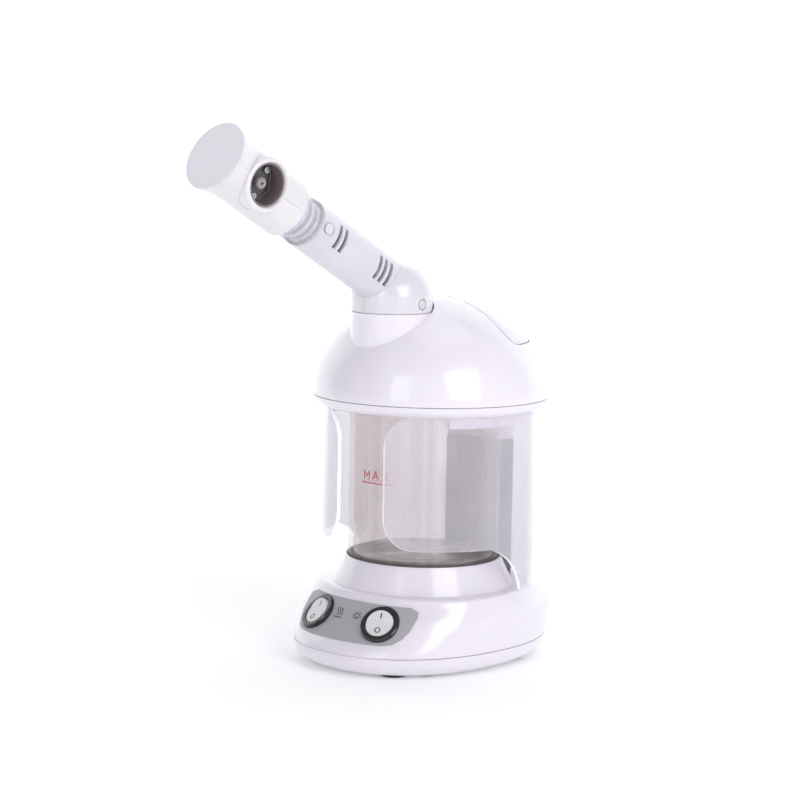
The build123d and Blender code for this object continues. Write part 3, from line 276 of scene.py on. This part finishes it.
def heater_plate_steel():
    """Dark brushed plate with four radial sectors of painted highlight in its colour, where a spun
    plate would gather light.
    """
    mat = Material("heater_plate_steel")
    x, y, _, angle = mat.round_glass()
    radius = mat.math("SQRT", mat.math("ADD", mat.math("MULTIPLY", x, x),
                                       mat.math("MULTIPLY", y, y)))
    spun = mat.combine(mat.math("MULTIPLY", radius, 2600.0), mat.math("MULTIPLY", angle, 0.6))
    rings = mat.noise(1.0, detail=2.0, vector=spun)
    # four sectors of painted highlight, sharpened by the power
    turned = mat.math("ADD", mat.math("MULTIPLY", angle, 2.0), 0.5)
    painted_highlight_sectors = mat.math("POWER", mat.math("ABSOLUTE", mat.math("COSINE", turned)), 6.0)
    grime = mat.noise(55.0, detail=5.0, rough=0.65)
    base = mat.mix(mat.ramp(grime, over=(0.35, 0.7)),
                   (0.25, 0.242, 0.236), (0.35, 0.338, 0.328))
    colour = mat.mix(mat.math("MULTIPLY", painted_highlight_sectors, 0.75), base, (0.62, 0.60, 0.58))
    roughness = mat.ramp(rings, over=(0.2, 0.8), to=(0.22, 0.5))
    tangent = mat.node("Tangent", direction_type="RADIAL", axis="Z").outputs[0]
    normal = mat.bump(rings, strength=0.25, distance=0.0002, normal=mat.bevel(0.4))
    mat.finish(mat.principled(Base_Color=colour, Roughness=roughness, Metallic=0.85,
                              Normal=normal, Anisotropic=0.6, Tangent=tangent))


def vessel_glass():
    """Smoky glass: tinted and hazed, with upright streaks of lighter and darker tint and haze that
    are painted reflections; glossy at glancing angles.
    """
    mat = Material("vessel_glass")
    _, _, z, angle = mat.round_glass()
    upright = mat.combine(mat.math("MULTIPLY", angle, 5.5), mat.math("MULTIPLY", z, 1.0))
    painted_reflection_streak = mat.noise(1.0, detail=2.0, rough=0.45, vector=upright)
    drip = mat.noise(45.0, detail=4.0, rough=0.6, vector=mat.stretch((3.0, 3.0, 0.5)))
    spots = mat.noise(420.0, detail=2.0, rough=0.6)
    # painted reflection: upright streaks of lighter and darker tint and of more and less haze
    tint = mat.mix(mat.ramp(painted_reflection_streak, over=(0.38, 0.62)),
                   (0.91, 0.888, 0.884), (0.975, 0.96, 0.957))
    haze_colour = mat.mix(mat.ramp(drip, over=(0.2, 0.8)),
                          (0.68, 0.635, 0.63), (0.72, 0.675, 0.67))
    haze = mat.principled(Base_Color=haze_colour, Roughness=0.4)
    gloss_rough = mat.math("ADD", mat.ramp(drip, over=(0.3, 0.8), to=(0.05, 0.09)),
                           mat.ramp(spots, over=(0.66, 0.76), to=(0.0, 0.05)))
    ripple = mat.bump(mat.noise(18.0, detail=1.0), strength=0.006, distance=0.001)
    gloss = mat.node("BsdfGlossy", {"Color": (1, 1, 1), "Roughness": gloss_rough,
                                    "Normal": ripple}).outputs[0]
    body = mat.mix_shader(mat.ramp(painted_reflection_streak, over=(0.38, 0.62), to=(0.09, 0.045)),
                          mat.clear(tint), haze)
    glancing = mat.math("POWER", mat.facing(0.5), 4.0)
    shine = mat.math("ADD", mat.math("MULTIPLY", glancing, 0.55), 0.03)
    mat.finish(mat.mix_shader(shine, body, gloss))


def shield_milky():
    """Milky guard; its cut edges, which don't face out from the Z axis, carry painted light: a
    lighter colour and a faint glow.
    """
    mat = Material("shield_milky")
    true_normal = mat.node("NewGeometry").outputs["True Normal"]
    x, y, _ = mat.node("SeparateXYZ", {0: mat.place}).outputs
    outward = mat.vector_math("NORMALIZE", mat.combine(x, y))
    normal = mat.node("VectorTransform", {0: true_normal}, vector_type="NORMAL",
                      convert_from="WORLD", convert_to="OBJECT").outputs[0]
    outwardness = mat.math("ABSOLUTE", mat.vector_math("DOT_PRODUCT", outward, normal))
    edge = mat.ramp(outwardness, over=(0.75, 0.35))
    haze = mat.noise(14.0, detail=2.0)
    fine = mat.noise(700.0, detail=2.0)
    colour = mat.mix(mat.ramp(haze, over=(0.3, 0.7)), (0.82, 0.805, 0.85), (0.86, 0.845, 0.885))
    # painted light: the edges get a lighter colour
    colour = mat.mix(edge, colour, (0.97, 0.97, 0.985))
    # painted light: the edges also glow faintly through the emission
    milk = mat.principled(
        Base_Color=colour, Roughness=mat.ramp(fine, over=(0.3, 0.7), to=(0.16, 0.26)),
        Normal=mat.bump(fine, strength=0.03, distance=0.0003, normal=mat.bevel(0.3)),
        Subsurface_Weight=0.2, Subsurface_Radius=(0.004, 0.004, 0.004), Coat_Weight=0.3,
        Emission_Color=(1, 1, 1), Emission_Strength=mat.math("MULTIPLY", edge, 0.25))
    # thicker at glancing angles and at the edges
    cover = mat.math("ADD", mat.math("MULTIPLY", mat.facing(0.35), 0.28), 0.20)
    cover = mat.math("MAXIMUM", cover, mat.math("MULTIPLY", edge, 0.85))
    cover = mat.math("ADD", cover, mat.ramp(haze, over=(0.2, 0.8), to=(-0.015, 0.015)))
    mat.finish(mat.mix_shader(cover, mat.clear((0.972, 0.964, 0.98)), milk))


def arm_frosted():
    """Frosted tube that turns clear 81 to 84.5 mm along the arm from the head swivel."""
    mat = Material("arm_frosted")
    offset = mat.vector_math("SUBTRACT", mat.place, ARM_START)
    distance = mat.vector_math("DOT_PRODUCT", offset, ARM_AXIS)
    clear = mat.ramp(mat.math("MULTIPLY", distance, 1000.0), over=(81.0, 84.5))
    cloud = mat.noise(38.0, detail=4.0, rough=0.6)
    fine = mat.noise(1100.0, detail=2.0)
    colour = mat.mix(mat.ramp(cloud, over=(0.3, 0.7)),
                     (0.635, 0.622, 0.685), (0.685, 0.672, 0.735))
    colour = mat.mix(clear, colour, (0.80, 0.79, 0.83))
    roughness = mat.math("ADD", mat.ramp(fine, over=(0.3, 0.7), to=(0.30, 0.42)),
                         mat.math("MULTIPLY", clear, -0.2))
    frost = mat.principled(
        Base_Color=colour, Roughness=roughness,
        Normal=mat.bump(fine, strength=0.06, distance=0.0002, normal=mat.bevel(0.3)),
        Subsurface_Weight=0.35, Subsurface_Radius=(0.004, 0.004, 0.005), Coat_Weight=0.15)
    cover = mat.math("ADD", mat.math("MULTIPLY", clear, -0.69), 0.88)
    cover = mat.math("ADD", cover, mat.math("MULTIPLY", mat.facing(0.4), 0.35))
    cover = mat.math("MINIMUM", cover, 1.0)
    mat.finish(mat.mix_shader(cover, mat.clear((0.95, 0.95, 0.98)), frost))


def lamp_quartz():
    """Pale bluish quartz, mostly clear."""
    mat = Material("lamp_quartz")
    cloud = mat.noise(200.0, detail=3.0)
    quartz = mat.principled(Base_Color=mat.mix(cloud, (0.8, 0.84, 0.95), (0.9, 0.92, 0.98)),
                            Roughness=mat.ramp(cloud, over=(0.3, 0.7), to=(0.03, 0.12)),
                            Normal=mat.bump(cloud, strength=0.03, distance=0.0003))
    mat.finish(mat.mix_shader(0.35, mat.clear(), quartz))


for row in PLASTICS:
    moulded(*row)
for row in METALS:
    metal(*row)
for build in (nozzle_plate_black, heater_plate_steel, vessel_glass, shield_milky, arm_frosted,
              lamp_quartz):
    build()

# ------------------------------------------------------------------ dress the CAD pieces
# material: the pieces that wear it
PIECES = {
    "white_shell": "base_pan base_housing dome_cover lid_ring",
    "white_elbow": "elbow_right elbow_left",
    "white_head": "head_shell_upper head_shell_lower port_bezel",
    "grip_white": "lid_grip",
    "end_lavender": "end_cap",
    "white_plastic": "inner_cover swivel_seat lamp_holder contact_plug swivel_collar head_spigot",
    "grey_overlay": "control_panel",
    "black_gloss": "hot_switch_body ozone_switch_body",
    "nozzle_plate_black": "nozzle_plate",
    "black_matt": "power_inlet",
    "nozzle_brown": "nozzle_body",
    "rocker_grey": "hot_rocker ozone_rocker",
    "grey_plastic": "contact_column thermostat thermal_fuse",
    "lens_grey": "nozzle_tip",
    "rubber_black": "rubber_feet",
    "seal_dark": "vessel_seal",
    "seal_grey": "spigot_seals",
    "silicone": "lid_gasket steam_duct swivel_seal pipe_seal",
    "polished": "steam_pipe",
    "screw_pale": "arm_screws",
    "board_green": "ballast_board",
    "core_dark": "ballast_transformer",
    "lead_red": "wiring lamp_wires",
    "steel": "heating_element heater_bracket lamp_bracket",
    "zinc": "base_screws plate_screws inlet_screws lid_screws lid_small_screws",
    "chrome": "nozzle_screws",
    "brass": "switch_terminals inlet_pins column_sockets contact_pins",
    "heater_plate_steel": "heater_plate",
    "vessel_glass": "glass_vessel",
    "shield_milky": "safety_shield",
    "arm_frosted": "arm_tube",
    "lamp_quartz": "ozone_lamp",
}
WELD_GAP = 2e-6
CORNER_ANGLE = math.radians(28.0)


def dress(piece, material):
    mesh = piece.data
    mesh.materials.clear()
    mesh.materials.append(material)
    for face in mesh.polygons:
        face.material_index = 0


def soften(piece):
    """The mesh comes split face by face: weld it and split only real corners, to shade softly."""
    mesh = piece.data
    mesh.polygons.foreach_set("use_smooth", [True] * len(mesh.polygons))
    if "custom_normal" in mesh.attributes:
        mesh.attributes.remove(mesh.attributes["custom_normal"])
    piece.modifiers.new("weld", "WELD").merge_threshold = WELD_GAP
    piece.modifiers.new("split", "EDGE_SPLIT").split_angle = CORNER_ANGLE


for material_name, piece_names in PIECES.items():
    for piece_name in piece_names.split():
        dress(NODES[piece_name], MATERIALS[material_name])
        soften(NODES[piece_name])


# ------------------------------------------------------------------ mesh helpers
def add_object(name, data):
    obj = bpy.data.objects.new(name, data)
    scene.collection.objects.link(obj)
    return obj


def add_strips(name, strips, material, body):
    """One object of thin bars that ride on body; a strip is (four-point sections, closed)."""
    bm = bmesh.new()
    for sections, closed in strips:
        rows = [[bm.verts.new(point) for point in section] for section in sections]
        count = len(rows)
        for i in range(count if closed else count - 1):
            a, b = rows[i], rows[(i + 1) % count]
            for k in range(4):
                bm.faces.new((a[k], a[(k + 1) % 4], b[(k + 1) % 4], b[k]))
        if not closed:
            bm.faces.new(rows[0][::-1])
            bm.faces.new(rows[-1])
    bmesh.ops.recalc_face_normals(bm, faces=bm.faces)
    mesh = bpy.data.meshes.new(name)
    bm.to_mesh(mesh)
    bm.free()
    obj = add_object(name, mesh)
    mesh.materials.append(MATERIALS[material])
    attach(obj, body)
    return obj


def surface_tree(node):
    mesh = NODES[node].data
    return BVHTree.FromPolygons([vertex.co.copy() for vertex in mesh.vertices],
                                [tuple(face.vertices) for face in mesh.polygons])


# ------------------------------------------------------------------ printed marks
MARK_STEP = 0.35     # mm, longest step along a mark
MARK_DEPTH = 0.03    # mm, sunk below the surface
MITRE_LIMIT = 0.5    # least cosine used to widen a corner


def ribbon(name, paths, width, place, material="mark_dark", body="base", lift=0.06):
    """Raised lines along paths, each (points in mm, closed).

    place(u, v) gives the point in metres and the normal there; width and lift are in mm."""
    strips = []
    for points, closed in paths:
        fine = []
        count = len(points)
        for i in range(count if closed else count - 1):
            a, b = Vector(points[i]), Vector(points[(i + 1) % count])
            steps = max(1, int((b - a).length / MARK_STEP))
            fine += [a.lerp(b, j / steps) for j in range(steps)]
        if not closed:
            fine.append(Vector(points[-1]))
        count = len(fine)
        legs = [(fine[(i + 1) % count] - fine[i]).normalized() for i in range(count)]
        sections = []
        for i, middle in enumerate(fine):
            before = legs[i - 1 if closed else max(i - 1, 0)]
            after = legs[i if closed else min(i, count - 2)]
            along = (before + after).normalized()
            side = Vector((-along.y, along.x))
            widen = 1.0 / max(MITRE_LIMIT, along.dot(before))
            edges = []
            for sign in (-1, 1):
                flat = middle + side * (sign * width / 2 * widen)
                point, normal = place(flat.x, flat.y)
                edges.append((point + normal * lift * mm, point - normal * MARK_DEPTH * mm))
            (top_a, low_a), (top_b, low_b) = edges
            sections.append((top_a, top_b, low_b, low_a))
        strips.append((sections, closed))
    add_strips(name, strips, material, body)


def ring(x, z, radius, squash=1.0, count=20):
    return ([(x + radius * math.cos(2 * math.pi * i / count),
              z + squash * radius * math.sin(2 * math.pi * i / count))
             for i in range(count)], True)


# the fill line and its word, in red on the front of the vessel; u runs round the glass from -Y
LEVEL_Z = 105.6                       # mm
LINE_FROM, LINE_TO = -13.0, 17.5      # degrees round the glass
WORD_MIDDLE = 1.6                     # degrees
LETTER_W, LETTER_H, LETTER_PITCH = 4.2, 4.9, 6.9
LETTER_FOOT = LEVEL_Z + 1.9
LEVEL_STROKE = 0.6
# strokes as (fraction of width from the middle, fraction of height)
LETTERS = {
    "M": [[(-0.5, 0), (-0.5, 1), (0, 0.35), (0.5, 1), (0.5, 0)]],
    "A": [[(-0.5, 0), (0, 1), (0.5, 0)], [(-0.3, 0.36), (0.3, 0.36)]],
    "X": [[(-0.5, 0), (0.5, 1)], [(-0.5, 1), (0.5, 0)]],
}


def on_glass(u, v):
    angle = u / (GLASS_R / mm)
    normal = Vector((math.sin(angle), -math.cos(angle), 0))
    return Vector((GLASS_CENTRE.x, GLASS_CENTRE.y, v * mm)) + normal * GLASS_R, normal


def round_arc(degrees):
    """Arc length in mm round the glass."""
    return math.radians(degrees) * (GLASS_R / mm)


ribbon("fill_line", [([(round_arc(LINE_FROM), LEVEL_Z), (round_arc(LINE_TO), LEVEL_Z)], False)],
       LEVEL_STROKE, on_glass, material="mark_red")
word = []
for i, letter in enumerate("MAX"):
    x = round_arc(WORD_MIDDLE) + (i - 1) * LETTER_PITCH
    for stroke in LETTERS[letter]:
        word.append(([(x + across * LETTER_W, LETTER_FOOT + high * LETTER_H)
                      for across, high in stroke], False))
ribbon("fill_word", word, LEVEL_STROKE, on_glass, material="mark_red")

# ------------------------------------------------------------------ painted shadow lines in the seams
SEAM_RAYS = 240
GRIP_GAP = 0.12 * mm        # seam outside the grip's box
GRIP_CORNER_R = 8.9 * mm
GRIP_STEP = 0.4 * mm
DOME_H = 58.0 * mm          # the dome is an ellipsoid: this high, and as wide as its box
MIN_OFFSET = 0.5 * mm       # the grip seam keeps this far from the x = 0 plane


def seam(name, points, normals, across, width, body, closed, lift=0.05, depth=0.5):
    """A thin dark bead of painted shadow along points (metres), wide in the across directions; sizes
    in mm.
    """
    sections = []
    for point, normal, wide in zip(points, normals, across):
        half = wide * (width / 2) * mm
        top = point + normal * lift * mm
        low = point - normal * depth * mm
        sections.append((top + half, low + half, low - half, top - half))
    add_strips(name, [(sections, closed)], "seam", body)


def level_seam(name, node, height, width, body):
    """A level line of painted seam shadow round a piece, found by rays cast inward just above it."""
    tree = surface_tree(node)
    points, normals = [], []
    for i in range(SEAM_RAYS):
        angle = 2 * math.pi * i / SEAM_RAYS
        out = Vector((math.cos(angle), math.sin(angle), 0))
        hit, face_normal, _, _ = tree.ray_cast(
            Vector((0, 0, height + 0.3 * mm)) + out * 0.25, -out)
        if hit is None:     # an opening in the wall
            continue
        normal = Vector((face_normal.x, face_normal.y, 0)).normalized()
        points.append(Vector((hit.x, hit.y, height)))
        normals.append(-normal if normal.dot(out) < 0 else normal)
    seam(name, points, normals, [UP] * len(points), width, body, True)


dome_low, dome_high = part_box("dome_cover")
DOME_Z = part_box("lid_ring")[1].z     # the dome stands on the ring here
DOME_R = (dome_high.x - dome_low.x) / 2
level_seam("painted_shadow_lid", "dome_cover", DOME_Z, 0.44, "lid")
level_seam("painted_shadow_base", "base_housing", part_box("base_housing")[0].z, 0.40, "base")


def grip_outline():
    """Front lower edge of the grip panel as (y, z): forward along the foot, round, and up."""
    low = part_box("lid_grip")[0]
    y, z, radius = low.y - GRIP_GAP, low.z - GRIP_GAP, GRIP_CORNER_R
    outline = [(y + radius + i * GRIP_STEP, z) for i in range(110, 0, -1)]
    for k in range(24, -1, -1):
        turn = math.pi / 2 * k / 24
        outline.append((y + radius * (1 - math.cos(turn)), z + radius * (1 - math.sin(turn))))
    return outline + [(y, z + radius + i * GRIP_STEP) for i in range(1, 60)]


def grip_seam(name, sign):
    """The grip outline laid on one side of the dome; sign +1 is the +X side."""
    points, normals = [], []
    for y, z in grip_outline():
        x_squared = DOME_R ** 2 * (1 - ((z - DOME_Z) / DOME_H) ** 2) - y ** 2
        if x_squared < MIN_OFFSET ** 2:
            continue
        point = Vector((sign * math.sqrt(x_squared), y, z))
        points.append(point)
        normals.append(Vector((point.x / DOME_R ** 2, point.y / DOME_R ** 2,
                               (point.z - DOME_Z) / DOME_H ** 2)).normalized())
    if len(points) <= 5:    # too little of the outline lies on the dome
        return
    last = len(points) - 1
    across = []
    for i, normal in enumerate(normals):
        along = (points[min(i + 1, last)] - points[max(i - 1, 0)]).normalized()
        across.append(along.cross(normal).normalized())
    seam(name, points, normals, across, 0.44, "lid", False, lift=0.03, depth=0.4)


grip_seam("painted_shadow_grip_right", 1)
grip_seam("painted_shadow_grip_left", -1)

# ------------------------------------------------------------------ pictograms on the panel
STEAM_X = -6.6               # mm, middle of the steam mark
OZONE_X, OZONE_Z = 6.6, 32.6
panel_tree = surface_tree("control_panel")


def on_panel(u, v):
    point, normal, _, _ = panel_tree.ray_cast(Vector((u * mm, -0.2, v * mm)), Vector((0, 1, 0)))
    if point is None:       # the ray missed the panel
        return panel_tree.find_nearest(Vector((u * mm, -0.075, v * mm)))[:2]
    return point, -normal if normal.y > 0 else normal


def wave(x, low, high, swing=0.7, count=14):
    return ([(x + swing * math.sin(2 * math.pi * i / count), low + (high - low) * i / count)
             for i in range(count + 1)], False)


def ray(angle):
    """A short ray of the ozone sun, between two ellipses."""
    cos, sin = math.cos(angle), math.sin(angle)
    return ([(OZONE_X + 2.1 * cos, OZONE_Z + 1.5 * sin),
             (OZONE_X + 3.0 * cos, OZONE_Z + 2.15 * sin)], False)


steam = [wave(STEAM_X + shift, 31.2, 35.0) for shift in (-1.7, 0.0, 1.7)]
steam.append(([(STEAM_X - 2.8, 30.2), (STEAM_X + 2.8, 30.2)], False))
ozone = [ring(OZONE_X, OZONE_Z, 1.5, squash=0.72)]
ozone += [ray(math.radians(degrees)) for degrees in range(0, 360, 45)]
ribbon("panel_marks", steam + ozone, 0.45, on_panel)

# ------------------------------------------------------------------ I and O on each rocker
ROCKER_TILT = math.radians(43.0)     # how far the face looks up
ROCKER_TURN = math.radians(18.5)     # how far it looks outward from the front


def rocker_surface(name, side):
    """place() for a rocker face: u along its pivot, v up the face, from the pivot."""
    joint = JOINTS[name + "_press"]
    axis = Vector(joint["axis"]).normalized() * -1
    normal = Vector((side * math.sin(ROCKER_TURN) * math.cos(ROCKER_TILT),
                     -math.cos(ROCKER_TURN) * math.cos(ROCKER_TILT),
                     math.sin(ROCKER_TILT))).normalized()
    up = normal.cross(axis).normalized()
    pivot = Vector(joint["pos_m"])
    tree = surface_tree(name)

    def place(u, v):
        start = pivot + axis * (u * mm) + up * (v * mm) + normal * 0.02
        hit, hit_normal, _, _ = tree.ray_cast(start, -normal)
        if hit is None:     # the ray missed the rocker
            return start - normal * 0.018, normal
        return hit, hit_normal if hit_normal.dot(normal) > 0 else -hit_normal

    return place


for side, switch in ((-1, "hot"), (1, "ozone")):
    rocker = switch + "_rocker"
    place = rocker_surface(rocker, side)
    ribbon(switch + "_mark_on", [([(0, 2.9), (0, 6.0)], False)], 0.75, place, body=rocker,
           lift=0.05)
    ribbon(switch + "_mark_off", [ring(0, -4.3, 1.5)], 0.6, place, body=rocker, lift=0.05)

# ------------------------------------------------------------------ stage
CAMERA_TURN = math.radians(41.79)    # round Z from the front, towards +X
CAMERA_PITCH = math.radians(7.04)    # looking down
CAMERA_ROLL = math.radians(1.06)
CAMERA_AT = (0.8976, -1.0307, 0.3183)
AWAY = Vector((-math.sin(CAMERA_TURN), math.cos(CAMERA_TURN), 0.0))    # from the camera, level
SIDE = Vector((math.cos(CAMERA_TURN), math.sin(CAMERA_TURN), 0.0))     # to the camera's right


def spot(right, away, up):
    """A place in metres to the camera's right, away from it, and up, from the origin."""
    return Vector((0, 0, up)) + SIDE * right + AWAY * away


SWEEP_HALF_W = 4.0
# (away from the camera, height): floor, curve and back wall
SWEEP_PROFILE = [(-3.0, 0.0), (0.9, 0.0), (1.15, 0.02), (1.4, 0.10),
                 (1.62, 0.27), (1.75, 0.5), (1.8, 0.8), (1.8, 3.4)]


def sweep_paper():
    """Near-white paper that glows a little more away from the origin."""
    mat = Material("sweep_paper")
    cloud = mat.noise(3.0, detail=3.0)
    distance = mat.vector_math("LENGTH", mat.place)
    mat.finish(mat.principled(
        Base_Color=mat.mix(cloud, (0.925, 0.925, 0.93), (0.94, 0.94, 0.945)), Roughness=0.85,
        Normal=mat.bump(mat.noise(150.0, detail=3.0), strength=0.02, distance=0.001),
        Emission_Color=(1, 1, 1),
        Emission_Strength=mat.ramp(distance, over=(0.15, 1.5), to=(0.16, 0.60))))


def add_sweep():
    bm = bmesh.new()
    rows = [[bm.verts.new(spot(x, away, up)) for x in (-SWEEP_HALF_W, SWEEP_HALF_W)]
            for away, up in SWEEP_PROFILE]
    for a, b in zip(rows, rows[1:]):
        bm.faces.new((a[0], a[1], b[1], b[0]))
    rising = [edge for edge in bm.edges
              if abs(edge.verts[0].co.z - edge.verts[1].co.z) > 1e-5]
    bmesh.ops.subdivide_edges(bm, edges=rising, cuts=2)
    mesh = bpy.data.meshes.new("sweep")
    bm.to_mesh(mesh)
    bm.free()
    for face in mesh.polygons:
        face.use_smooth = True
    sweep = add_object("sweep", mesh)
    sweep_paper()
    mesh.materials.append(MATERIALS["sweep_paper"])


def add_world():
    """Sky light, stronger from the camera's right; the camera itself sees plain white."""
    world = bpy.data.worlds.new("studio")
    scene.world = world
    world.use_nodes = True
    graph = Graph(world.node_tree)
    light = graph.tree.nodes["Background"]
    rightness = graph.vector_math("DOT_PRODUCT", graph.coords["Generated"], SIDE)
    graph.put(light.inputs[0], (0.97, 0.965, 1.0))
    graph.put(light.inputs[1], graph.ramp(rightness, over=(-0.9, 0.7), to=(0.36, 0.66)))
    white = graph.node("Background", {0: (1.0, 1.0, 1.0), 1: 1.0})
    camera_ray = graph.node("LightPath").outputs["Is Camera Ray"]
    sky = graph.mix_shader(camera_ray, light.outputs[0], white.outputs[0])
    graph.put(graph.tree.nodes["World Output"].inputs["Surface"], sky)


# name, place (right, away, up), width, height, watts
LIGHTS = [
    ("key", (0.85, -1.3, 0.8), 0.95, 1.1, 9.6),
    ("fill", (-0.75, -1.3, 0.6), 0.5, 0.9, 3.0),
    ("top", (0.1, 0.1, 1.5), 0.9, 0.9, 2.0),
]


def add_light(name, place, width, height, watts):
    """A rectangular light aimed at the middle of the object."""
    light = bpy.data.lights.new(name, "AREA")
    light.shape = "RECTANGLE"
    light.size = width
    light.size_y = height
    light.energy = watts
    lamp = add_object(name, light)
    lamp.location = spot(*place)
    aim = (BOUNDS[0] + BOUNDS[1]) / 2 - spot(*place)
    lamp.rotation_euler = aim.to_track_quat("-Z", "Y").to_euler()


def add_camera():
    lens = bpy.data.cameras.new("camera")
    lens.sensor_width = 36.0
    lens.lens = 106.09
    lens.clip_start = 0.05
    lens.clip_end = 20.0
    camera = add_object("camera", lens)
    back = Vector((math.sin(CAMERA_TURN) * math.cos(CAMERA_PITCH),
                   -math.cos(CAMERA_TURN) * math.cos(CAMERA_PITCH), math.sin(CAMERA_PITCH)))
    level_up = back.cross(SIDE)
    right = SIDE * math.cos(CAMERA_ROLL) + level_up * math.sin(CAMERA_ROLL)
    up = level_up * math.cos(CAMERA_ROLL) - SIDE * math.sin(CAMERA_ROLL)
    camera.matrix_world = Matrix((*zip(right, up, back, CAMERA_AT), (0, 0, 0, 1)))
    scene.camera = camera


add_sweep()
add_world()
for row in LIGHTS:
    add_light(*row)
add_camera()
scene.view_settings.view_transform = "Standard"
scene.cycles.max_bounces = 12
scene.cycles.transmission_bounces = 10
scene.cycles.transparent_max_bounces = 24
